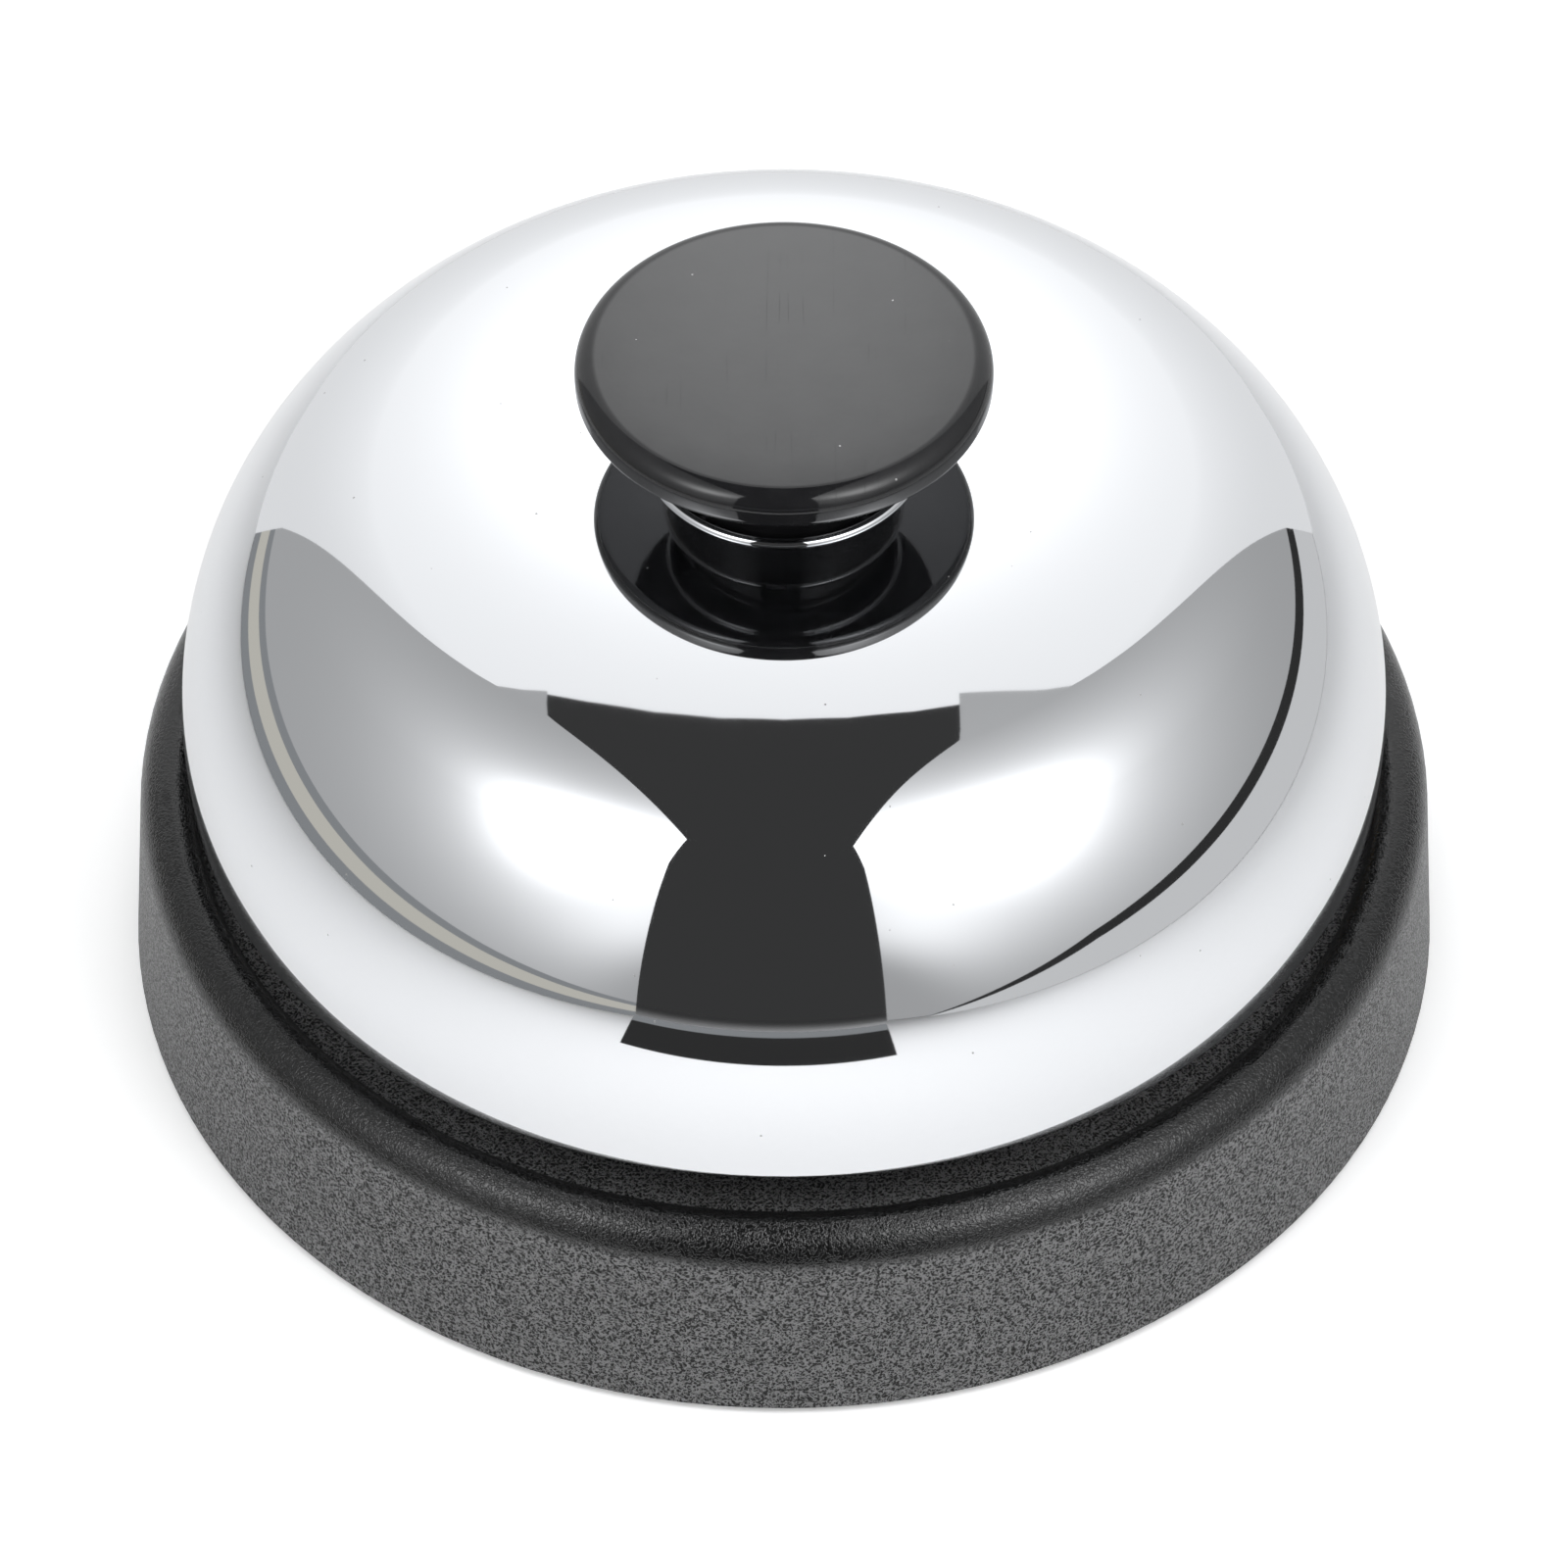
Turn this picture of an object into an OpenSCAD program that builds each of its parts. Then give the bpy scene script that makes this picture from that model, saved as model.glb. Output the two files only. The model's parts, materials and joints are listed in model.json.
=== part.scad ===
// Service bell: a chromed gong over a black base, rung by a push button.
// Millimetres, +Z up, origin at the centre of the face it stands on.
// The hammer swings towards +X, inside the gong.

/* [Base] */
// Radius of the base where it meets the table
base_r = 42.5; // [42:0.1:43]
// Radius of the base just under its rounded rim
base_top_r = 41.5; // [41.3:0.1:41.8]
// Height at which the rounding of the rim begins
rim_start_z = 12.2; // [12:0.1:12.5]
// Radius of the outer rounding of the rim
rim_r = 2.6; // [2.4:0.1:2.8]
// Radius of the small inner rounding of the rim
rim_inner_r = 1.3; // [1.1:0.1:1.5]
// Wall thickness of the moulded base
base_wall = 2; // [1.6:0.1:2.2]
// Height of the top of the deck inside the rim
deck_z = 12.5; // [12:0.1:12.8]

/* [Gong] */
// Outside radius of the gong at its skirt
gong_r = 38.25; // [38.1:0.05:38.4]
// Height of the gong's open edge
gong_edge_z = 17.3; // [17.2:0.1:17.6]
// Height at which the skirt starts to curve inwards
gong_curve_z = 20.15; // [20:0.05:20.3]
// Radius of the side curve, seen in section
gong_side_r = 22.8; // [22.6:0.1:23]
// Angle above level at which the side curve ends
gong_side_a = 47; // [45:0.5:48]
// Radius of the upper corner, seen in section
gong_corner_r = 11; // [10.5:0.5:11.5]
// Angle above level at which the corner meets the crown
gong_corner_a = 81; // [78:1:81]
// Thickness of the gong's sheet metal
gong_t = 0.9; // [0.8:0.05:0.95]

/* [Button] */
// Radius of the button's disc
disc_r = 12.7; // [12.3:0.1:13]
// Thickness of the button's disc at its edge
disc_t = 2.5; // [2.4:0.1:2.8]
// Height of the underside of the disc, button up
disc_z = 46.8; // [46.5:0.1:47]
// Radius of the button's neck
neck_r = 7.6; // [7.4:0.1:7.7]
// Distance that the button travels
travel = 3.5; // [2.5:0.1:3.5]

/* [Plunger] */
// Radius of the plunger rod
rod_r = 2; // [1.8:0.1:2]
// Running clearance between a shaft and its bush, on the radius
run = 0.04; // [0.02:0.01:0.08]
// Inside radius of the guide cup
cup_bore_r = 8.05; // [7.95:0.05:8.05]
// Radius of the ball on the plunger's tip
tip_r = 2.5; // [2.3:0.1:2.5]
// Height of the centre of the tip's ball, button up
tip_z = 29.6; // [29.5:0.1:29.7]

/* [Hammer] */
// Distance of the hammer's pivot from the middle of the bell
pivot_x = 12; // [11.8:0.1:12.2]
// Height of the hammer's pivot
pivot_z = 34; // [33.9:0.1:34.1]
// Distance of the striker from the middle of the bell, at rest
striker_x = 29; // [28:0.1:29]
// Height of the striker's centre, at rest
striker_z = 17.6; // [17.4:0.1:17.8]
// Radius of the striker
striker_r = 3.8; // [3.4:0.1:3.8]
// Thickness of the lever's plate
lever_t = 2; // [1.6:0.1:2.2]

/* [Hidden] */
$fn = 96;

eps = 0.01;                 // overlap that fuses two shapes of one part
over = 1;                   // how far a cut runs past the faces it cuts
slip = 0.02;                // gap left between parts that are pushed together

black_plastic = [0.06, 0.06, 0.065];
grained_plastic = [0.11, 0.11, 0.115];
chrome = [0.86, 0.87, 0.89];
zinc = [0.66, 0.68, 0.70];
steel = [0.55, 0.56, 0.58];
brass = [0.78, 0.62, 0.32];
rubber = [0.09, 0.09, 0.09];
nylon = [0.90, 0.89, 0.84];

// Base
foot_pad_t = 1;             // rubber feet under the bottom plate
foot_pad_r = 4.5;
ground_gap = 0.6;           // between the moulded edge and the table
plate_z = foot_pad_t;
plate_t = 1;
ledge_r = 40;               // the bottom plate drops inside this radius
ledge_z = plate_z + plate_t + 1;
plate_r = ledge_r - 0.2;
base_fix_r = 30;            // circle of the base screws and of the feet
deck_t = 2;
deck_bite = 0.5;            // how far the deck runs into the rim
wall_low_r = base_r - base_wall;
wall_high_r = wall_low_r - 0.8 * (base_r - base_top_r);
rim_c = [base_top_r - rim_r, rim_start_z];
rim_top_a = 80;             // where the outer rounding hands over to the inner one
rim_inner_c = rim_c + (rim_r - rim_inner_r) * [cos(rim_top_a), sin(rim_top_a)];
rim_foot_r = rim_inner_c[0] - rim_inner_r;

// Screws
screw_r = 1.2;
screw_head_r = 2.4;
frame_head_t = 1.3;
plate_head_t = 0.7;         // stays clear of the table
base_screw_length = 6;
frame_screw_length = 6.5;
hole_play = 0.2;            // clearance round a screw's shank in a sheet
boss_r = 3;
boss_bite = 1;              // how far a boss runs up into the deck
frame_boss_z = 5;
base_hole_top_z = 9;
frame_hole_z = 6;

// Gong, as three arcs in section that meet without a corner
side_c = [gong_r - gong_side_r, gong_curve_z];
corner_c = side_c + (gong_side_r - gong_corner_r) * [cos(gong_side_a), sin(gong_side_a)];
crown_r = gong_corner_r + corner_c[0] / cos(gong_corner_a);
crown_c = [0, corner_c[1] - (crown_r - gong_corner_r) * sin(gong_corner_a)];
function crown_z(r, drop = 0) = crown_c[1] + sqrt(pow(crown_r - drop, 2) - r * r);

// Guide cup, pushed down through the gong and held from below
cup_wall = 0.3;
cup_r = cup_bore_r + cup_wall;
cup_flange_r = cup_r + 0.35;
cup_flange_t = 0.36;
cup_hole_r = cup_r + 0.05;
cup_flange_z = crown_z(cup_hole_r);
cup_floor_z = 34;
cup_floor_t = 1;
washer_r = 12;
washer_t = 1.2;
washer_z = crown_z(washer_r, gong_t) - washer_t;
frame_t = 1.2;
frame_top_z = washer_z - frame_t;
ring_t = 0.5;
ring_r = 10.2;              // passes between the frame's legs

// Mechanism frame, an upside-down U that stands on the deck
leg_y = 11.6;               // outside face of each leg
leg_w = 18;                 // width of the legs along X, below the ears
leg_flare = [26, 31];       // heights between which a leg widens into its ear
leg_hole_z = 21;
leg_hole_r = 4;
ear_x = pivot_x + 4;        // the legs reach out to here round the pivot pin
frame_foot_y = 20;
frame_fix = [6, 16];

// Plunger
neck_wall = 1.2;
neck_bottom_z = disc_z - 6.4;
roof_z = disc_z - 0.2;      // ceiling inside the hollow neck
stem_r = 3.3;               // boss that grips the rod
stem_bottom_z = 41.2;
rod_top_z = roof_z - 0.6;
bush_r = 3.1;
bush_bottom_z = 32;
bush_top_z = cup_floor_z + 0.8;
buffer_t = 0.5;
clip_t = 0.6;
clip_r = 3.5;
clip_z = bush_bottom_z - buffer_t - clip_t;
groove_r = 1.5;             // rod radius inside the clip's groove
tip_clip_gap = 0.2;

// Return spring, a coil whose first and last half turns lie flat
spring_wire_r = 0.3;
spring_r = 4.7;
spring_turns = 6;
spring_low_z = cup_floor_z;
spring_high_z = roof_z;

// Hammer
pin_r = 1.5;
pin_length = 2 * leg_y + 3;
pin_groove_w = 0.6;
pin_groove_r = pin_r - 0.4;
pin_groove_y = leg_y + 0.7; // middle of the groove, outside the leg
pin_clip_r = 3;
hub_r = 3.1;
bush_wall = 0.6;
bush_stand = 0.6;           // how far the lever's bush stands proud on each side
spacer_play = 0.1;
spacer_wall = 0.8;
contact_gap = 0.12;         // between the tip and the lever's tail at rest
tail_z = tip_z - tip_r - contact_gap;
pivot = [pivot_x, pivot_z];
striker_at = [striker_x, striker_z];
tail_reach = 2.6;           // how far the tail runs past the plunger's axis
tail_bend_x = 4.6;
tail_t = 2.4;
riser_w = 3.6;              // width of the lever between its tail and its hub
arm_w = 4.4;
arm_a = atan2(striker_z - pivot_z, striker_x - pivot_x);
rivet_r = 1.1;
rivet_head_r = 1.9;
rivet_head_t = 0.7;
striker_flat_y = 3;         // half the striker's width between its flats
slot_play = 0.1;            // between the arm and the striker's slot

// A turned part: its outline drawn in radius and height
module turned() { rotate_extrude($fn = 128) children(); }

// Part of a ring in section: centre, inside and outside radius, from and to angle
module arc_band(c, r_in, r_out, a0, a1) {
    reach = 1.3 * r_out;
    mid = (a0 + a1) / 2;
    intersection() {
        translate(c) difference() {
            circle(r_out);
            circle(r_in);
        }
        polygon([
            c,
            c + reach * [cos(a0), sin(a0)],
            c + reach * [cos(mid), sin(mid)],
            c + reach * [cos(a1), sin(a1)]
        ]);
    }
}

// A round cut through a layer that starts at z and is t thick
module drill(r, z, t) {
    translate([0, 0, z - over]) cylinder(r = r, h = t + 2 * over);
}

module at_each(points) {
    for (p = points) translate([p[0], p[1], 0]) children();
}

function on_circle(r, count, start = 0) =
    [for (i = [0:count - 1]) r * [cos(start + i * 360 / count), sin(start + i * 360 / count)]];

function four_corners(p) = [p, [-p[0], p[1]], [-p[0], -p[1]], [p[0], -p[1]]];

// A pan-head screw that points down from z = 0, with a cross slot in its head
module screw(length, head_t) {
    slot_length = 2.6;
    slot_w = 0.6;
    slot = [slot_length, slot_w, head_t];
    difference() {
        union() {
            cylinder(r = screw_head_r, h = head_t, $fn = 48);
            translate([0, 0, -length]) cylinder(r = screw_r, h = length + eps, $fn = 48);
        }
        translate([0, 0, head_t]) {
            cube(slot, center = true);
            rotate(90) cube(slot, center = true);
        }
    }
}

// An open retaining clip that lies flat, its mouth towards +X
module open_clip(r_in, r_out, t) {
    mouth = 1.7 * r_in;
    difference() {
        cylinder(r = r_out, h = t);
        drill(r_in, 0, t);
        translate([0, -mouth / 2, -over]) cube([r_out + over, mouth, t + 2 * over]);
    }
}

// ---- Base ----

module base_outline() {
    polygon([
        [rim_foot_r, deck_z - deck_t],
        [wall_high_r, deck_z - deck_t],
        [wall_low_r, ledge_z],
        [ledge_r, ledge_z],
        [ledge_r, ground_gap],
        [base_r, ground_gap],
        [base_top_r, rim_start_z],
        rim_c + rim_r * [cos(rim_top_a), sin(rim_top_a)],
        [rim_foot_r, rim_inner_c[1]]
    ]);
}

module base_shell() {
    color(grained_plastic) difference() {
        union() {
            turned() {
                base_outline();
                arc_band(rim_c, rim_r / 2, rim_r, 0, rim_top_a);
                arc_band(rim_inner_c, rim_inner_r / 3, rim_inner_r, rim_top_a, 180);
            }
            translate([0, 0, deck_z - deck_t]) cylinder(r = rim_foot_r + deck_bite, h = deck_t);
            at_each(on_circle(base_fix_r, 4)) boss(plate_z + plate_t);
            at_each(four_corners(frame_fix)) boss(frame_boss_z);
        }
        at_each(on_circle(base_fix_r, 4)) cylinder(r = screw_r + slip, h = base_hole_top_z);
        at_each(four_corners(frame_fix)) translate([0, 0, frame_hole_z])
            cylinder(r = screw_r + slip, h = deck_z - frame_hole_z + over);
    }
}

// A round post under the deck, from height z up into it
module boss(z) {
    translate([0, 0, z]) cylinder(r = boss_r, h = deck_z - deck_t + boss_bite - z);
}

module bottom_plate() {
    color(zinc) difference() {
        translate([0, 0, plate_z]) cylinder(r = plate_r, h = plate_t);
        at_each(on_circle(base_fix_r, 4)) drill(screw_r + hole_play, plate_z, plate_t);
    }
}

module base_screws() {
    color(steel) at_each(on_circle(base_fix_r, 4))
        translate([0, 0, plate_z]) rotate([180, 0, 0]) screw(base_screw_length, plate_head_t);
}

module rubber_feet() {
    color(rubber) at_each(on_circle(base_fix_r, 4, 45)) cylinder(r = foot_pad_r, h = foot_pad_t);
}

// ---- Frame and gong ----

module frame_leg() {
    // one leg in the plane y = leg_y, drawn from the front and then stood up
    translate([0, leg_y, 0]) rotate([90, 0, 0]) linear_extrude(frame_t) difference() {
        polygon([
            [-leg_w / 2, deck_z],
            [leg_w / 2, deck_z],
            [leg_w / 2, leg_flare[0]],
            [ear_x, leg_flare[1]],
            [ear_x, frame_top_z + eps],
            [-leg_w / 2, frame_top_z + eps]
        ]);
        translate([pivot_x, pivot_z]) circle(pin_r + slip);
        translate([0, leg_hole_z]) circle(leg_hole_r);
    }
}

module mechanism_frame() {
    color(zinc) difference() {
        union() {
            translate([-leg_w / 2, -leg_y, frame_top_z]) cube([leg_w / 2 + ear_x, 2 * leg_y, frame_t]);
            for (side = [0, 1]) mirror([0, side, 0]) {
                frame_leg();
                translate([-leg_w / 2, leg_y - frame_t, deck_z])
                    cube([leg_w, frame_foot_y - leg_y + frame_t, frame_t]);
            }
        }
        drill(cup_hole_r, frame_top_z, frame_t);
        at_each(four_corners(frame_fix)) drill(screw_r + hole_play, deck_z, frame_t);
    }
}

module frame_screws() {
    color(steel) at_each(four_corners(frame_fix))
        translate([0, 0, deck_z + frame_t]) screw(frame_screw_length, frame_head_t);
}

module gong_seat_washer() {
    color(rubber) translate([0, 0, washer_z]) difference() {
        cylinder(r = washer_r, h = washer_t);
        drill(cup_hole_r, 0, washer_t);
    }
}

module gong() {
    color(chrome) difference() {
        gong_sheet();
        cylinder(r = cup_hole_r, h = cup_flange_z + over);
    }
}

module gong_sheet() {
    edge_r = gong_t / 2;
    turned() {
        translate([gong_r - edge_r, gong_edge_z + edge_r]) circle(edge_r);
        translate([gong_r - gong_t, gong_edge_z + edge_r])
            square([gong_t, gong_curve_z - gong_edge_z - edge_r]);
        arc_band(side_c, gong_side_r - gong_t, gong_side_r, 0, gong_side_a);
        arc_band(corner_c, gong_corner_r - gong_t, gong_corner_r, gong_side_a, gong_corner_a);
        arc_band(crown_c, crown_r - gong_t, crown_r, gong_corner_a, 90);
    }
}

// ---- Plunger guide ----

module guide_cup() {
    lip_r = cup_flange_t / 2;
    color(chrome) difference() {
        turned() {
            translate([cup_bore_r, cup_floor_z - cup_floor_t])
                square([cup_wall, cup_flange_z - cup_floor_z + cup_floor_t]);
            translate([0, cup_floor_z - cup_floor_t]) square([cup_bore_r + eps, cup_floor_t]);
            translate([cup_bore_r + lip_r, cup_flange_z + lip_r]) circle(lip_r);
            translate([cup_bore_r + lip_r, cup_flange_z])
                square([cup_flange_r - cup_bore_r - 2 * lip_r, cup_flange_t]);
            translate([cup_bore_r, cup_flange_z - eps]) square([cup_wall, lip_r + eps]);
            translate([cup_flange_r - lip_r, cup_flange_z + lip_r]) circle(lip_r);
        }
        drill(bush_r, cup_floor_z - cup_floor_t, cup_floor_t);
    }
}

module cup_retaining_ring() {
    color(steel) translate([0, 0, frame_top_z - ring_t]) difference() {
        cylinder(r = ring_r, h = ring_t);
        drill(cup_r, 0, ring_t);
    }
}

module guide_bush() {
    flange_r = 3.9;
    color(brass) difference() {
        union() {
            translate([0, 0, bush_bottom_z]) cylinder(r = bush_r, h = bush_top_z - bush_bottom_z);
            translate([0, 0, bush_bottom_z])
                cylinder(r = flange_r, h = cup_floor_z - cup_floor_t - bush_bottom_z);
        }
        drill(rod_r + run, bush_bottom_z, bush_top_z - bush_bottom_z);
    }
}

module return_spring() {
    pitch = (spring_high_z - spring_low_z - 2 * spring_wire_r) / spring_turns;
    steps = 12;
    function at(i) = [
        spring_r * cos(i * 360 / steps),
        spring_r * sin(i * 360 / steps),
        spring_low_z + spring_wire_r + pitch * min(max(i / steps - 0.5, 0), spring_turns)
    ];
    sides = 6;
    last = steps * (spring_turns + 1);
    function ring_point(i, k) =
        let (a = i * 360 / steps, b = k * 360 / sides, c = at(i))
        [
            c[0] + spring_wire_r * cos(b) * cos(a),
            c[1] + spring_wire_r * cos(b) * sin(a),
            c[2] + spring_wire_r * sin(b)
        ];
    points = [for (i = [0:last]) for (k = [0:sides - 1]) ring_point(i, k)];
    walls = [for (i = [0:last - 1]) for (k = [0:sides - 1])
        [i * sides + k, i * sides + (k + 1) % sides, (i + 1) * sides + (k + 1) % sides, (i + 1) * sides + k]];
    start_cap = [[for (k = [0:sides - 1]) sides - 1 - k]];
    end_cap = [[for (k = [0:sides - 1]) last * sides + k]];
    color(steel) polyhedron(points = points, faces = concat(walls, start_cap, end_cap));
}

// ---- Button and plunger ----

module button_cap() {
    edge_top_r = 1.3;
    edge_low_r = 0.7;
    flat_r = disc_r - edge_top_r;
    color(black_plastic) difference() {
        turned() {
            translate([0, disc_z]) square([disc_r - edge_low_r, disc_t]);
            intersection() {
                translate([0, disc_z]) square([disc_r + over, disc_t]);
                union() {
                    translate([0, disc_z + edge_low_r])
                        square([disc_r, disc_t - edge_low_r - edge_top_r]);
                    translate([flat_r, disc_z + disc_t - edge_top_r]) circle(edge_top_r);
                    translate([disc_r - edge_low_r, disc_z + edge_low_r]) circle(edge_low_r);
                }
            }
            translate([neck_r - neck_wall, neck_bottom_z]) square([neck_wall, disc_z - neck_bottom_z + eps]);
            translate([0, stem_bottom_z]) square([stem_r, disc_z - stem_bottom_z + eps]);
        }
        translate([0, 0, stem_bottom_z - over]) cylinder(r = rod_r, h = rod_top_z - stem_bottom_z + over);
    }
}

module plunger_rod() {
    color(steel) difference() {
        translate([0, 0, tip_z]) cylinder(r = rod_r, h = rod_top_z - tip_z);
        translate([0, 0, clip_z]) difference() {
            cylinder(r = rod_r + over, h = clip_t);
            drill(groove_r, 0, clip_t);
        }
    }
}

module plunger_clip() {
    color(steel) translate([0, 0, clip_z + slip]) open_clip(groove_r + slip, clip_r, clip_t - 2 * slip);
}

module buffer_washer() {
    color(rubber) translate([0, 0, clip_z + clip_t]) difference() {
        cylinder(r = clip_r, h = buffer_t - slip);
        drill(rod_r, 0, buffer_t);
    }
}

module plunger_tip() {
    tube_h = clip_z - tip_clip_gap - tip_z;
    color(nylon) difference() {
        turned() {
            translate([0, tip_z]) intersection() {
                circle(tip_r);
                translate([0, -tip_r]) square(tip_r);
            }
            translate([0, tip_z - eps]) square([tip_r, tube_h + eps]);
        }
        translate([0, 0, tip_z]) cylinder(r = rod_r, h = tube_h + over);
    }
}

// ---- Hammer ----

module along_y(length) {
    rotate([90, 0, 0]) translate([0, 0, -length / 2]) children();
}

module at_pivot() { translate([pivot_x, 0, pivot_z]) children(); }

module at_striker() { translate([striker_x, 0, striker_z]) children(); }

module at_pin_grooves() {
    at_pivot() for (side = [-1, 1]) translate([0, side * pin_groove_y, 0]) children();
}

module pivot_pin() {
    color(steel) difference() {
        at_pivot() along_y(pin_length) cylinder(r = pin_r, h = pin_length);
        at_pin_grooves() along_y(pin_groove_w) difference() {
            cylinder(r = pin_r + over, h = pin_groove_w);
            drill(pin_groove_r, 0, pin_groove_w);
        }
    }
}

module pivot_clips() {
    t = pin_groove_w - 2 * slip;
    color(steel) at_pin_grooves() along_y(t) open_clip(pin_groove_r + slip, pin_clip_r, t);
}

module lever_spacers() {
    start = lever_t / 2 + bush_stand + spacer_play;
    length = leg_y - frame_t - 2 * spacer_play - start;
    color(nylon) at_pivot() for (side = [-1, 1])
        translate([0, side * (start + length / 2), 0]) along_y(length) difference() {
            cylinder(r = pin_r + spacer_wall, h = length);
            drill(pin_r + slip, 0, length);
        }
}

// A straight strip between two points, seen from the front
module strip(p, q, w) {
    along = (q - p) / norm(q - p);
    across = w / 2 * [-along[1], along[0]];
    polygon([p + across, p - across, q - across, q + across]);
}

module hammer_lever() {
    color(zinc) rotate([90, 0, 0]) translate([0, 0, -lever_t / 2]) linear_extrude(lever_t) difference() {
        union() {
            translate(pivot) circle(hub_r);
            polygon([
                [-tail_reach, tail_z - tail_t],
                [tail_bend_x + tail_t, tail_z - tail_t],
                [tail_bend_x, tail_z],
                [-tail_reach, tail_z]
            ]);
            strip([tail_bend_x + tail_t / 2, tail_z - tail_t / 2], pivot, riser_w);
            strip(pivot, striker_at, arm_w);
            translate(striker_at) circle(arm_w / 2);
        }
        translate(pivot) circle(pin_r + bush_wall);
        translate(striker_at) circle(rivet_r);
    }
}

module lever_bush() {
    length = lever_t + 2 * bush_stand;
    color(brass) at_pivot() along_y(length) difference() {
        cylinder(r = pin_r + bush_wall, h = length);
        drill(pin_r + run, 0, length);
    }
}

module striker() {
    slot_w = arm_w + 2 * slot_play;
    slot_length = 3 * striker_r;
    color(brass) at_striker() difference() {
        rotate([90, 0, 0]) turned() intersection() {
            circle(striker_r);
            translate([0, -striker_flat_y]) square([striker_r + over, 2 * striker_flat_y]);
        }
        along_y(2 * striker_r) cylinder(r = rivet_r, h = 2 * striker_r);
        rotate([0, 180 - arm_a, 0]) translate([-slot_w / 2, -lever_t / 2 - slip, -slot_w / 2])
            cube([slot_length, lever_t + 2 * slip, slot_w]);
    }
}

module striker_rivet() {
    length = 2 * striker_flat_y;
    color(steel) at_striker() {
        along_y(length) cylinder(r = rivet_r, h = length);
        for (side = [-1, 1]) translate([0, side * (striker_flat_y + rivet_head_t / 2), 0])
            along_y(rivet_head_t) cylinder(r = rivet_head_r, h = rivet_head_t);
    }
}

base_shell();
bottom_plate();
base_screws();
rubber_feet();
mechanism_frame();
frame_screws();
gong_seat_washer();
gong();
guide_cup();
cup_retaining_ring();
guide_bush();
return_spring();
button_cap();
plunger_rod();
plunger_clip();
buffer_washer();
plunger_tip();
pivot_pin();
pivot_clips();
lever_spacers();
hammer_lever();
lever_bush();
striker();
striker_rivet();
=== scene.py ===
"""Looks for the service bell: a chromed gong on a black base, with a push button on top.

Everything is in metres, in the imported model's frame: +Z up, origin under the middle of the base.
"""

import json
from math import acos, cos, degrees, pi, radians, sin

import bmesh
import bpy
from mathutils import Matrix, Vector


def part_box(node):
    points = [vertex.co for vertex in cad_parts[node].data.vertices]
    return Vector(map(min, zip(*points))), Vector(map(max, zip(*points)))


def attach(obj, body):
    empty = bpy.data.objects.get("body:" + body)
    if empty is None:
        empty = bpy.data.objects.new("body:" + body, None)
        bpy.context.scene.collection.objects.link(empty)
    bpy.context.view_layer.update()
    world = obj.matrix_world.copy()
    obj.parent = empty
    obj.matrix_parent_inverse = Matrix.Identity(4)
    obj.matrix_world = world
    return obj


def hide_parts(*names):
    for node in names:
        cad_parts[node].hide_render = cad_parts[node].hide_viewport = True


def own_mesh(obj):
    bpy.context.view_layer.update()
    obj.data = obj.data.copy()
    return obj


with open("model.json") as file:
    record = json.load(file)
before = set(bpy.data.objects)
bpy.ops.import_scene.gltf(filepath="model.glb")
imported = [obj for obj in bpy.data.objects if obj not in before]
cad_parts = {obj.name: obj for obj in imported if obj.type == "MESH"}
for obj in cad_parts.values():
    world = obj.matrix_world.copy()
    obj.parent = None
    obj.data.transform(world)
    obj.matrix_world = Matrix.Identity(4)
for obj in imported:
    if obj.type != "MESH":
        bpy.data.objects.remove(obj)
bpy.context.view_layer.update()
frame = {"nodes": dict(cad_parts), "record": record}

MM = 0.001

# ---- Sizes that the pieces made here share with the model ----

gong_low, gong_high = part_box("gong")
button_low, button_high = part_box("button_cap")
cup_low, cup_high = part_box("guide_cup")
spring_low, spring_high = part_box("return_spring")

GONG_R = gong_high.x
GONG_EDGE_Z = gong_low.z
GONG_CURVE_Z = 20.15 * MM        # the skirt starts to curve in
GONG_SIDE_R = 22.8 * MM          # side, corner and crown are three arcs, each from where the last ends
GONG_SIDE_A = 47                 # degrees
GONG_CORNER_R = 11 * MM
GONG_CORNER_A = 81
GONG_T = 0.9 * MM
GONG_HOLE_R = 8.4 * MM

DISC_R = button_high.x
DISC_T = 2.5 * MM
DISC_TOP_EDGE = 1.3 * MM         # radius of the rounding
DISC_LOW_EDGE = 0.7 * MM
DISC_FLAT_R = DISC_R - 3 * DISC_TOP_EDGE
NECK_R = 7.6 * MM
NECK_WALL = 1.2 * MM
NECK_FILLET = 0.35 * MM
STEM_R = 3.3 * MM
STEM_LIFT = 0.8 * MM             # the stem ends this far above the neck's lower end
ROD_R = 2 * MM
ROD_TOP_DROP = 0.8 * MM          # the rod ends this far under the disc

CUP_BORE_R = 8.05 * MM
CUP_WALL = 0.3 * MM
CUP_FLOOR_T = 1 * MM
CUP_FLANGE_T = 0.36 * MM         # and the radius of its outer edge
BUSH_R = 3.1 * MM

WALL_TOP_Z = 12.4 * MM           # the base's wall turns into its rounded top
WALL_BLEND = 0.8 * MM            # and its grain and the wall's painted sheen fade out over this height

SPRING_WIRE_R = 0.3 * MM
SPRING_TURNS = 6

TURN_STEPS = 360                 # steps round a turned piece
ON_AXIS = 1e-7                   # a smaller radius is a point on the axis
SHARP_A = 35                     # faces that meet at more degrees than this keep a crisp edge


# ---- Mesh building ----

def polar(centre, r, angle):
    """The point at an angle in degrees on a circle in section."""
    return (centre[0] + r * cos(radians(angle)), centre[1] + r * sin(radians(angle)))


def arc(centre, r, start, end, steps):
    """Points along an arc in section, from one angle to another, both ends included."""
    return [polar(centre, r, start + (end - start) * i / steps) for i in range(steps + 1)]


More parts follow.
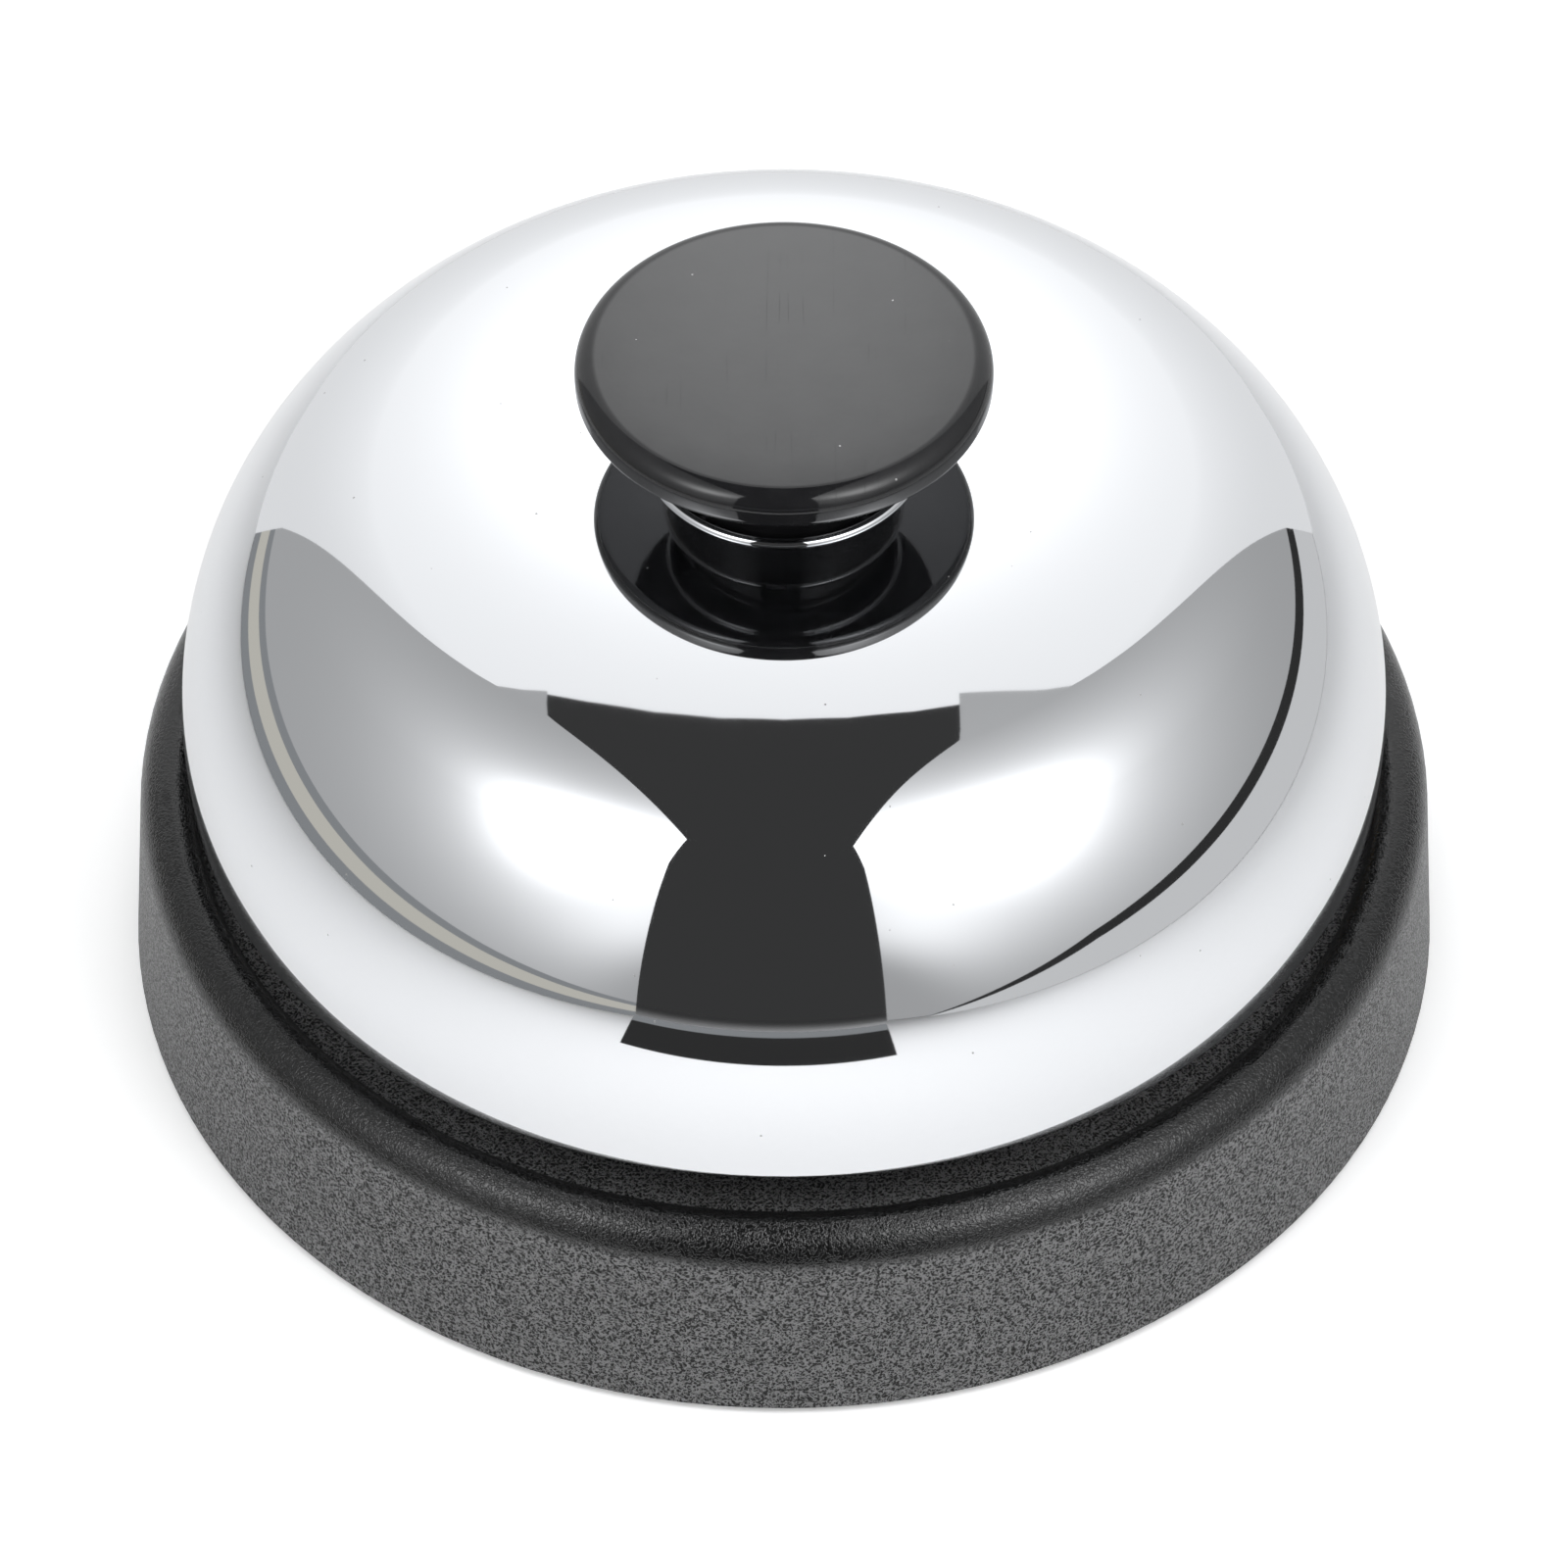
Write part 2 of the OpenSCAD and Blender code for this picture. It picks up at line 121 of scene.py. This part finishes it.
def finish_mesh(name, bm):
    """A smooth-shaded object from a bmesh, with its corners left crisp."""
    bmesh.ops.recalc_face_normals(bm, faces=bm.faces)
    mesh = bpy.data.meshes.new(name)
    bm.to_mesh(mesh)
    bm.free()
    mesh.shade_smooth()
    mesh.set_sharp_from_angle(angle=radians(SHARP_A))
    piece = bpy.data.objects.new(name, mesh)
    bpy.context.scene.collection.objects.link(piece)
    return piece


def lathe(name, outline):
    """A turned solid: outline is a closed loop of (radius, height) points."""
    bm = bmesh.new()
    rings = []
    angles = [2 * pi * i / TURN_STEPS for i in range(TURN_STEPS)]
    for r, z in outline:
        if r < ON_AXIS:
            rings.append([bm.verts.new((0, 0, z))])
        else:
            rings.append([bm.verts.new((r * cos(a), r * sin(a), z)) for a in angles])
    for a, b in zip(rings, rings[1:] + rings[:1]):
        if len(a) == 1 and len(b) == 1:
            continue
        for i in range(TURN_STEPS):
            j = (i + 1) % TURN_STEPS
            corners = [a[i % len(a)], a[j % len(a)], b[j % len(b)], b[i % len(b)]]
            bm.faces.new(list(dict.fromkeys(corners)))
    return finish_mesh(name, bm)


def tube(name, points, r, sides):
    """A round wire along a list of points, closed at both ends."""
    bm = bmesh.new()
    rings = []
    angles = [2 * pi * k / sides for k in range(sides)]
    for i, p in enumerate(points):
        ahead = points[min(i + 1, len(points) - 1)] - points[max(i - 1, 0)]
        out = Vector((p.x, p.y, 0)).normalized()
        up = ahead.cross(out).normalized()
        rings.append([bm.verts.new(p + r * (cos(a) * out + sin(a) * up)) for a in angles])
    for a, b in zip(rings, rings[1:]):
        for k in range(sides):
            bm.faces.new((a[k], a[(k + 1) % sides], b[(k + 1) % sides], b[k]))
    bm.faces.new(rings[0])
    bm.faces.new(rings[-1])
    return finish_mesh(name, bm)


# ---- Materials ----
# Scales are per metre, and bump heights are in metres.

DUST_GREY = (0.35, 0.35, 0.35, 1)
WIPED = (1, 0.03, 0.03)          # scratches run along the wiping


def new_material(name):
    """A node material: the material, its node tree and its Principled shader."""
    material = bpy.data.materials.new(name)
    material.use_nodes = True
    tree = material.node_tree
    return material, tree, tree.nodes["Principled BSDF"]


def node(tree, kind, inputs=None, **settings):
    """A shader node; an input is a value or another node's output."""
    made = tree.nodes.new(kind)
    for key, value in settings.items():
        setattr(made, key, value)
    for key, value in (inputs or {}).items():
        if isinstance(value, bpy.types.NodeSocket):
            tree.links.new(value, made.inputs[key])
        else:
            made.inputs[key].default_value = value
    return made


def own_space(tree):
    """The place on the piece, in the piece's own coordinates."""
    return node(tree, "ShaderNodeTexCoord").outputs["Object"]


def noise(tree, scale, detail=3, roughness=0.5, stretch=(1, 1, 1)):
    """Noise with scale lumps per metre; a stretch below 1 draws the lumps out along that axis."""
    mapped = node(tree, "ShaderNodeMapping", {"Vector": own_space(tree), "Scale": stretch})
    made = node(tree, "ShaderNodeTexNoise", {"Vector": mapped.outputs["Vector"], "Scale": scale,
                                             "Detail": detail, "Roughness": roughness})
    return made.outputs["Fac"]


def cells(tree, scale):
    """A cell pattern with scale cells per metre: its distance and colour outputs are used."""
    return node(tree, "ShaderNodeTexVoronoi", {"Vector": own_space(tree), "Scale": scale})


def spread(tree, value, low, high, to_low=0.0, to_high=1.0):
    """The range from low to high becomes the range from to_low to to_high, and stops at its ends."""
    made = node(tree, "ShaderNodeMapRange", {"Value": value, "From Min": low, "From Max": high,
                                             "To Min": to_low, "To Max": to_high})
    return made.outputs["Result"]


def maths(tree, operation, a, b=0.0, c=0.0):
    """One step of arithmetic; MULTIPLY_ADD is a times b plus c."""
    return node(tree, "ShaderNodeMath", {0: a, 1: b, 2: c}, operation=operation).outputs["Value"]


def blend_colours(tree, factor, a, b):
    """Colour a where the factor is 0, and b where it is 1."""
    made = node(tree, "ShaderNodeMix", {"Factor": factor, "A": a, "B": b}, data_type="RGBA")
    return made.outputs["Result"]


def bump(tree, height, distance, strength=1.0, below=None):
    """Relief up to distance metres high, on top of another bump below it."""
    inputs = {"Height": height, "Distance": distance, "Strength": strength}
    if below is not None:
        inputs["Normal"] = below
    return node(tree, "ShaderNodeBump", inputs).outputs["Normal"]


def specks(tree, scale, size):
    """Round specks of dust in one cell of ten: 1 on a speck and 0 elsewhere."""
    made = cells(tree, scale)
    near = maths(tree, "LESS_THAN", made.outputs["Distance"], size)
    chosen = node(tree, "ShaderNodeSeparateColor", {"Color": made.outputs["Color"]})
    rare = maths(tree, "GREATER_THAN", chosen.outputs["Red"], 0.9)
    return maths(tree, "MULTIPLY", near, rare)


def from_middle(tree, value):
    """How far a noise is from its middle value; it is 0 along winding lines."""
    return maths(tree, "ABSOLUTE", maths(tree, "SUBTRACT", value, 0.5))


def hairlines(tree, scale, stretch, width):
    """Thin scratches: 1 along a line and 0 elsewhere, broken up by a coarser noise."""
    lines = noise(tree, scale, detail=1, stretch=stretch)
    thin = spread(tree, from_middle(tree, lines), 0.0, width, 1.0, 0.0)
    patches = spread(tree, noise(tree, 160, detail=2), 0.52, 0.62)
    return maths(tree, "MULTIPLY", thin, patches)


def chrome():
    """Bright plating with a faint haze, wipe marks, a slow waviness and a little dust."""
    material, tree, shader = new_material("gong_chrome")
    scratches = hairlines(tree, 500, WIPED, 0.0015)
    dust = specks(tree, 800, 0.06)
    haze = spread(tree, noise(tree, 60, detail=4), 0.4, 0.7, 0.0, 0.015)
    rough = maths(tree, "ADD", haze, maths(tree, "MULTIPLY", scratches, 0.03))
    shader.inputs["Metallic"].default_value = 1
    tree.links.new(blend_colours(tree, dust, (0.85, 0.86, 0.88, 1), (0.55, 0.55, 0.55, 1)),
                   shader.inputs["Base Color"])
    tree.links.new(maths(tree, "ADD", rough, maths(tree, "MULTIPLY_ADD", dust, 0.5, 0.02)),
                   shader.inputs["Roughness"])
    tree.links.new(bump(tree, noise(tree, 90, detail=1), 0.00001), shader.inputs["Normal"])
    return material


def gloss_black_plastic():
    """Polished black moulding with a little dust and fine scratches."""
    material, tree, shader = new_material("gloss_black_plastic")
    dust = specks(tree, 900, 0.06)
    scratches = hairlines(tree, 500, WIPED, 0.002)
    mottle = spread(tree, noise(tree, 500, detail=4), 0.35, 0.65)
    plain = blend_colours(tree, mottle, (0.010, 0.010, 0.011, 1), (0.014, 0.014, 0.015, 1))
    tree.links.new(blend_colours(tree, dust, plain, DUST_GREY), shader.inputs["Base Color"])
    tree.links.new(maths(tree, "MULTIPLY_ADD", scratches, 0.2, 0.06), shader.inputs["Roughness"])
    shader.inputs["IOR"].default_value = 1.5
    moulded = bump(tree, noise(tree, 2500, detail=2), 0.000002)
    tree.links.new(bump(tree, scratches, 0.000003, below=moulded), shader.inputs["Normal"])
    return material


def grained_plastic():
    """Black plastic: a fine spark grain on the wall scatters light, and the rounded top is smoother.
    The wall's raised grain is coloured a light grey as a painted sheen of the floor's light, and the
    grain's hollows are painted darker as shade.
    """
    material, tree, shader = new_material("grained_plastic")
    height = node(tree, "ShaderNodeSeparateXYZ", {"Vector": own_space(tree)}).outputs["Z"]
    wall = spread(tree, height, WALL_TOP_Z + WALL_BLEND, WALL_TOP_Z)
    lumps = noise(tree, 5200, detail=1, roughness=0.6)
    worms = spread(tree, from_middle(tree, noise(tree, 3600, detail=1)), 0.0, 0.08, 1.0, 0.0)
    grain = maths(tree, "MULTIPLY_ADD", worms, 0.4, lumps)
    raised = spread(tree, grain, 0.48, 0.74)
    dust = specks(tree, 420, 0.035)
    plain = blend_colours(tree, raised, (0.005, 0.005, 0.005, 1), (0.012, 0.012, 0.0122, 1))
    # Painted sheen: the wall's raised grain is coloured light grey where it would catch the floor's
    # light, and its hollows stay near black as painted shade
    wall_painted_sheen = blend_colours(tree, raised, (0.012, 0.012, 0.012, 1), (0.17, 0.17, 0.171, 1))
    colour = blend_colours(tree, wall, plain, wall_painted_sheen)
    tree.links.new(blend_colours(tree, dust, colour, (0.35, 0.35, 0.34, 1)),
                   shader.inputs["Base Color"])
    # Painted shade: the gloss is turned down in the hollows of the wall's grain, where shade would fall
    painted_pit_shade = maths(tree, "MULTIPLY", wall, maths(tree, "SUBTRACT", 1.0, raised))
    shine = maths(tree, "MULTIPLY_ADD", painted_pit_shade, -0.85, spread(tree, wall, 0.0, 1.0, 0.5, 1.0))
    tree.links.new(shine, shader.inputs["Specular IOR Level"])
    tree.links.new(spread(tree, wall, 0.0, 1.0, 0.14, 0.34), shader.inputs["Roughness"])
    shader.inputs["IOR"].default_value = 1.55
    tree.links.new(bump(tree, grain, 0.00009, strength=spread(tree, wall, 0.0, 1.0, 0.4, 1.0)),
                   shader.inputs["Normal"])
    return material


def plated_metal(name, light, dark, rough_low, rough_high):
    """Zinc plate or plain steel: faint spangle, drawn lines and small handling marks."""
    material, tree, shader = new_material(name)
    shader.inputs["Metallic"].default_value = 1
    spangle = spread(tree, cells(tree, 500).outputs["Distance"], 0.1, 0.8)
    cloud = spread(tree, noise(tree, 150, detail=4), 0.35, 0.65)
    tone = maths(tree, "MULTIPLY_ADD", spangle, 0.5, maths(tree, "MULTIPLY", cloud, 0.5))
    tree.links.new(blend_colours(tree, tone, light, dark), shader.inputs["Base Color"])
    tree.links.new(spread(tree, tone, 0.0, 1.0, rough_low, rough_high), shader.inputs["Roughness"])
    marks = hairlines(tree, 800, (1, 0.1, 1), 0.01)
    drawn = bump(tree, noise(tree, 3000, detail=2, stretch=(0.1, 1, 1)), 0.000004)
    tree.links.new(bump(tree, marks, 0.000005, below=drawn), shader.inputs["Normal"])
    return material


def brass():
    """Turned brass with a patchy tarnish."""
    material, tree, shader = new_material("brass")
    shader.inputs["Metallic"].default_value = 1
    tarnish = spread(tree, noise(tree, 260, detail=5), 0.45, 0.7)
    tree.links.new(blend_colours(tree, tarnish, (0.80, 0.58, 0.26, 1), (0.50, 0.33, 0.14, 1)),
                   shader.inputs["Base Color"])
    tree.links.new(spread(tree, tarnish, 0.0, 1.0, 0.18, 0.4), shader.inputs["Roughness"])
    turned = bump(tree, noise(tree, 2600, detail=1, stretch=(0.3, 1, 0.3)), 0.000006)
    tree.links.new(turned, shader.inputs["Normal"])
    return material


def black_rubber():
    """Matt rubber with a greyish bloom."""
    material, tree, shader = new_material("black_rubber")
    bloom = spread(tree, noise(tree, 400, detail=5), 0.4, 0.7)
    tree.links.new(blend_colours(tree, bloom, (0.020, 0.020, 0.021, 1), (0.045, 0.045, 0.046, 1)),
                   shader.inputs["Base Color"])
    tree.links.new(spread(tree, bloom, 0.0, 1.0, 0.65, 0.85), shader.inputs["Roughness"])
    tree.links.new(bump(tree, noise(tree, 3500, detail=4), 0.00003), shader.inputs["Normal"])
    return material


def white_nylon():
    """Milky nylon, slightly cloudy."""
    material, tree, shader = new_material("white_nylon")
    cloud = spread(tree, noise(tree, 300, detail=3), 0.35, 0.65)
    tree.links.new(blend_colours(tree, cloud, (0.80, 0.79, 0.74, 1), (0.72, 0.71, 0.65, 1)),
                   shader.inputs["Base Color"])
    shader.inputs["Roughness"].default_value = 0.4
    shader.inputs["Subsurface Weight"].default_value = 0.15
    shader.inputs["Subsurface Scale"].default_value = 0.001
    tree.links.new(bump(tree, noise(tree, 2000, detail=3), 0.00001), shader.inputs["Normal"])
    return material


materials = {
    "gong_chrome": chrome(),
    "gloss_black_plastic": gloss_black_plastic(),
    "grained_plastic": grained_plastic(),
    "zinc_plate": plated_metal(
        "zinc_plate", (0.66, 0.68, 0.70, 1), (0.50, 0.52, 0.54, 1), 0.25, 0.42),
    "screw_steel": plated_metal(
        "screw_steel", (0.58, 0.59, 0.60, 1), (0.42, 0.43, 0.44, 1), 0.2, 0.36),
    "spring_steel": plated_metal(
        "spring_steel", (0.42, 0.42, 0.43, 1), (0.28, 0.28, 0.29, 1), 0.22, 0.38),
    "brass": brass(),
    "black_rubber": black_rubber(),
    "white_nylon": white_nylon(),
}


def place(piece, body, node_name, slot_name):
    """A piece made here stands for a node, moves with its body and takes a slot's finish."""
    piece.data.materials.append(materials[slot_name])
    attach(piece, body)
    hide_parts(node_name)


# ---- Pieces ----

def gong_outline():
    """Sheet of one thickness: an upright skirt that curves in, a corner and a nearly flat crown."""
    side = (GONG_R - GONG_SIDE_R, GONG_CURVE_Z)
    corner = polar(side, GONG_SIDE_R - GONG_CORNER_R, GONG_SIDE_A)
    crown_r = GONG_CORNER_R + corner[0] / cos(radians(GONG_CORNER_A))
    crown = (0, corner[1] - (crown_r - GONG_CORNER_R) * sin(radians(GONG_CORNER_A)))
    edge_r = GONG_T / 2

    def sheet_face(drop):
        hole_a = degrees(acos(GONG_HOLE_R / (crown_r - drop)))
        return (arc(side, GONG_SIDE_R - drop, 0, GONG_SIDE_A, 60)
                + arc(corner, GONG_CORNER_R - drop, GONG_SIDE_A, GONG_CORNER_A, 44)[1:]
                + arc(crown, crown_r - drop, GONG_CORNER_A, hole_a, 24)[1:])

    rolled_edge = arc((GONG_R - edge_r, GONG_EDGE_Z + edge_r), edge_r, 180, 360, 16)
    return rolled_edge + sheet_face(0) + sheet_face(GONG_T)[::-1]


def button_outline():
    """A round disc on a hollow neck, with a stem in the middle that grips the rod."""
    top, disc_z, end = button_high.z, button_high.z - DISC_T, button_low.z
    inner_r = NECK_R - NECK_WALL
    return (
        [(0, top), (DISC_FLAT_R, top)]
        + arc((DISC_R - DISC_TOP_EDGE, top - DISC_TOP_EDGE), DISC_TOP_EDGE, 90, 0, 20)
        + arc((DISC_R - DISC_LOW_EDGE, disc_z + DISC_LOW_EDGE), DISC_LOW_EDGE, 0, -90, 14)
        + arc((NECK_R + NECK_FILLET, disc_z - NECK_FILLET), NECK_FILLET, 90, 180, 8)
        + arc((NECK_R - NECK_FILLET, end + NECK_FILLET), NECK_FILLET, 0, -90, 8)
        + arc((inner_r + NECK_FILLET, end + NECK_FILLET), NECK_FILLET, -90, -180, 8)
        + [(inner_r, disc_z), (STEM_R, disc_z), (STEM_R, end + STEM_LIFT), (ROD_R, end + STEM_LIFT),
           (ROD_R, disc_z - ROD_TOP_DROP), (0, disc_z - ROD_TOP_DROP)]
    )


def cup_outline():
    """A thin cup with a hole in its floor and a flange that rolls over from the bore."""
    flange_z = cup_high.z - CUP_FLANGE_T
    floor_z = cup_low.z + CUP_FLOOR_T
    lip_r = cup_high.x - CUP_FLANGE_T - CUP_BORE_R
    out_r = CUP_BORE_R + CUP_WALL
    return (
        [(BUSH_R, cup_low.z)]
        + arc((out_r - CUP_WALL, cup_low.z + CUP_WALL), CUP_WALL, -90, 0, 8)
        + [(out_r, flange_z)]
        + arc((cup_high.x - CUP_FLANGE_T, flange_z), CUP_FLANGE_T, 0, 90, 14)
        + arc((CUP_BORE_R + lip_r, cup_high.z - lip_r), lip_r, 90, 180, 12)[1:]
        + [(CUP_BORE_R, floor_z), (BUSH_R, floor_z)]
    )


def spring_points():
    """The wire's middle line: half a turn flat at each end, and an even rise between them."""
    steps = 48
    r = spring_high.x - SPRING_WIRE_R
    low, high = spring_low.z + SPRING_WIRE_R, spring_high.z - SPRING_WIRE_R
    points = []
    for i in range(steps * (SPRING_TURNS + 1) + 1):
        turn = i / steps
        rise = min(max(turn - 0.5, 0), SPRING_TURNS) / SPRING_TURNS
        a = 2 * pi * turn
        points.append(Vector((r * cos(a), r * sin(a), low + (high - low) * rise)))
    return points


place(lathe("chromed_gong", gong_outline()), "base", "gong", "gong_chrome")
place(lathe("push_button", button_outline()), "button", "button_cap", "gloss_black_plastic")
place(lathe("rolled_guide_cup", cup_outline()), "base", "guide_cup", "gong_chrome")
spring = tube("coil_spring", spring_points(), SPRING_WIRE_R, 16)
place(spring, "base", "return_spring", "spring_steel")
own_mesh(spring)

# The model's own nodes that stay take their record's slot
for part in frame["record"]["subparts"]:
    kept = frame["nodes"][part["node"]]
    if not kept.hide_render:
        kept.data.materials.clear()
        kept.data.materials.append(materials[part["material_slot"]])


# ---- Stage, light and camera ----

# A tunnel-shaped diffusion tent: two curved side panels with a slot between them overhead, and a
# back wall that leans forward. It lights the bell and is what the chrome mirrors.
TENT_R = 0.18
TENT_BACK = (0.80, 0.33)         # where the back wall stands, at the floor and at the top, in radii


def emitter(name, colour, strength, spots=()):
    """A glow with brighter places, each (centre, added strength, radius), that fade out smoothly."""
    material = bpy.data.materials.new(name)
    material.use_nodes = True
    tree = material.node_tree
    tree.nodes.clear()
    glow = strength
    for centre, added, radius in spots:
        here = node(tree, "ShaderNodeNewGeometry")
        away = node(tree, "ShaderNodeVectorMath", {0: here.outputs["Position"], 1: centre},
                    operation="DISTANCE").outputs["Value"]
        ratio = maths(tree, "DIVIDE", away, radius)
        squared = maths(tree, "MULTIPLY", ratio, ratio)
        fall = maths(tree, "EXPONENT", maths(tree, "MULTIPLY", squared, -1.0))
        glow = maths(tree, "MULTIPLY_ADD", fall, added, glow)
    light = node(tree, "ShaderNodeEmission", {"Color": colour, "Strength": glow})
    output = node(tree, "ShaderNodeOutputMaterial")
    tree.links.new(light.outputs["Emission"], output.inputs["Surface"])
    return material


def stage_sheet(name, rows, material):
    """A sheet made of rows of points, which lights the scene but isn't seen by the camera."""
    bm = bmesh.new()
    grid = [[bm.verts.new(p) for p in row] for row in rows]
    for a, b in zip(grid, grid[1:]):
        for i in range(len(a) - 1):
            bm.faces.new((a[i], a[i + 1], b[i + 1], b[i]))
    sheet = finish_mesh(name, bm)
    sheet.data.materials.append(material)
    sheet.visible_camera = False
    return sheet


def tent_side(name, side, front, low_a, high_a, material):
    """A curved strip of a side panel, from one angle above the floor to another; side -1 is left.

    front is how fast its front edge runs forward. low_a and high_a are functions of the place
    along the panel, 0 at the front and 1 at the back.
    """
    rows = []
    across, along = 16, 24
    for i in range(across + 1):
        row = []
        for j in range(along + 1):
            v = j / along
            a = radians(low_a(v) + (high_a(v) - low_a(v)) * i / across)
            y_front = -front * cos(a)
            y_back = TENT_BACK[0] + (TENT_BACK[1] - TENT_BACK[0]) * sin(a)
            y = y_front + (y_back - y_front) * v
            row.append((side * TENT_R * cos(a), TENT_R * y, TENT_R * sin(a)))
        rows.append(row)
    return stage_sheet(name, rows, material)


def tent_back(material):
    """The back wall fills the tunnel's end and rises a little above it in the middle."""
    up, half = 12, 24
    peak, peak_half_w = 0.035, 0.25
    rows = []
    for i in range(up + 1):
        row = []
        for j in range(-half, half + 1):
            a = pi / 2 * j / half
            x = sin(a)
            top = cos(a) * (1 + peak * max(0, 1 - (x / peak_half_w) ** 2))
            z = top * i / up
            y = TENT_BACK[0] + (TENT_BACK[1] - TENT_BACK[0]) * z
            row.append((TENT_R * x, TENT_R * y, TENT_R * z))
        rows.append(row)
    return stage_sheet("tent_back", rows, material)


def even(a):
    """The same angle all along a panel."""
    return lambda v: a


def front_strip(name, near, far, material):
    """A strip on the floor in front, mirrored by the chrome but not seen or felt otherwise."""
    flares = (-0.44, 0, 0.29)    # its sides run outwards by this much of the distance
    lift = 0.5 * MM
    rows = [[(flare * y, -y, lift) for flare in flares] for y in (near, far)]
    strip = stage_sheet(name, rows, material)
    strip.visible_diffuse = False
    strip.visible_shadow = False
    return strip


def softbox(name, place_at, aim, size, power):
    """An area light that isn't mirrored, for the shade on the floor and on dull surfaces."""
    lamp = bpy.data.lights.new(name, "AREA")
    lamp.shape = "DISK"
    lamp.size = size
    lamp.energy = power
    box = bpy.data.objects.new(name, lamp)
    bpy.context.scene.collection.objects.link(box)
    box.location = place_at
    box.rotation_euler = (Vector(aim) - Vector(place_at)).to_track_quat("-Z", "Y").to_euler()
    box.visible_glossy = False
    box.visible_camera = False
    return box


FLOOR_R = 20                     # so large that its edge is the horizon
FLOOR_STEPS = 96
FLOOR_GLOW = (0.07, 0.15)        # it brightens between these distances from the bell's middle


def floor():
    """A round pale floor; what the camera sees of it brightens outwards into the backdrop."""
    material, tree, shader = new_material("floor_paper")
    grain = noise(tree, 600, detail=3)
    tree.links.new(blend_colours(tree, grain, (0.93, 0.93, 0.93, 1), (0.95, 0.95, 0.95, 1)),
                   shader.inputs["Base Color"])
    shader.inputs["Roughness"].default_value = 0.9
    shader.inputs["Specular IOR Level"].default_value = 0.2
    shader.inputs["Emission Color"].default_value = (1, 1, 1, 1)
    away = node(tree, "ShaderNodeVectorMath", {0: own_space(tree)}, operation="LENGTH")
    seen = node(tree, "ShaderNodeLightPath").outputs["Is Camera Ray"]
    glow = spread(tree, away.outputs["Value"], FLOOR_GLOW[0], FLOOR_GLOW[1], 0.3, 0.9)
    tree.links.new(maths(tree, "MULTIPLY", seen, glow), shader.inputs["Emission Strength"])
    bm = bmesh.new()
    bmesh.ops.create_circle(bm, cap_ends=True, segments=FLOOR_STEPS, radius=FLOOR_R)
    ground = finish_mesh("floor", bm)
    ground.data.materials.append(material)
    return ground


panel_white = (0.985, 0.993, 1, 1)
seam_dark = emitter("seam_dark", (1, 1, 1, 1), 0.03)
seam_grey = emitter("seam_grey", (0.93, 0.97, 1, 1), 0.26)
seam_beige = emitter("seam_beige", (1, 0.97, 0.87, 1), 0.52)
board_white = emitter("board_white", panel_white, 0.6)

LEFT_FRONT, RIGHT_FRONT = 2.3, 3.4   # how fast the side panels' front edges run forward
LEFT_SPOT, RIGHT_SPOT = (-0.088, -0.110, 0.157), (0.084, -0.105, 0.159)
LEFT_FAR_SPOT, RIGHT_FAR_SPOT = (-0.110, -0.230, 0.150), (0.110, -0.250, 0.150)
BACK_SPOT, BACK_HAZE = (0, 0.089, 0.118), (0, 0.085, 0.130)

left_glow = emitter("tent_left_glow", panel_white, 0.40, [
    (LEFT_SPOT, 0.6, 0.095), (LEFT_SPOT, 4, 0.042), (LEFT_FAR_SPOT, 0.6, 0.1)])
right_glow = emitter("tent_right_glow", panel_white, 0.38, [
    (RIGHT_SPOT, 0.9, 0.105), (RIGHT_SPOT, 4, 0.048), (RIGHT_FAR_SPOT, 0.6, 0.1)])
back_glow = emitter("tent_back_glow", panel_white, 0.80, [
    (BACK_SPOT, 2.2, 0.028), (BACK_HAZE, 0.3, 0.09)])

# The left side's strips, from the floor up: name, lower and upper angle, glow
for name, low_a, high_a, glow in [
    ("tent_left_foot", 0.2, 3.5, seam_grey),
    ("tent_left_board", 3.5, 8, seam_beige),
    ("tent_left_seam", 8, 10.5, seam_grey),
    ("tent_left", 10.5, 76.5, left_glow),
]:
    tent_side(name, -1, LEFT_FRONT, even(low_a), even(high_a), glow)


def right_edge(size, foot):
    """A line on the right side that rises from the front towards the middle, then runs level."""
    return lambda v: size * min(max((v - 0.25) / 0.38, 0), 1) + foot


right_board_top = right_edge(9.75, 0.4)
right_seam_top = right_edge(12.5, 0.8)
tent_side("tent_right_board", 1, RIGHT_FRONT, even(0.2), right_board_top, board_white)
tent_side("tent_right_seam", 1, RIGHT_FRONT, right_board_top, right_seam_top, seam_dark)
tent_side("tent_right", 1, RIGHT_FRONT, right_seam_top, even(80), right_glow)
tent_back(back_glow)
front_strip("front_dark_strip", 0.131, 0.307, seam_dark)
front_strip("front_grey_strip", 0.307, 0.47, seam_grey)
softbox("overhead_box", place_at=(0, -0.1, 0.7), aim=(0, 0, 0), size=0.5, power=1.7)
floor()

# The camera sees a white backdrop, and everything else a dim room
world = bpy.data.worlds.new("studio")
bpy.context.scene.world = world
world.use_nodes = True
world_tree = world.node_tree
seen = node(world_tree, "ShaderNodeLightPath").outputs["Is Camera Ray"]
background = world_tree.nodes["Background"]
backdrop = blend_colours(world_tree, seen, (0.04, 0.04, 0.04, 1), (1, 1, 1, 1))
world_tree.links.new(backdrop, background.inputs["Color"])

CAMERA_AT = Vector((0, -0.2814, 0.3118))
CAMERA_PITCH = 46.88             # degrees below level
SENSOR_MM, LENS_MM = 36, 146
lens = bpy.data.cameras.new("photo_camera")
lens.sensor_width = SENSOR_MM
lens.lens = LENS_MM
lens.clip_start = 10 * MM
camera = bpy.data.objects.new("photo_camera", lens)
bpy.context.scene.collection.objects.link(camera)
tilt = Matrix.Rotation(radians(90 - CAMERA_PITCH), 4, "X")
camera.matrix_world = Matrix.Translation(CAMERA_AT) @ tilt
bpy.context.scene.camera = camera
bpy.context.scene.view_settings.view_transform = "Standard"
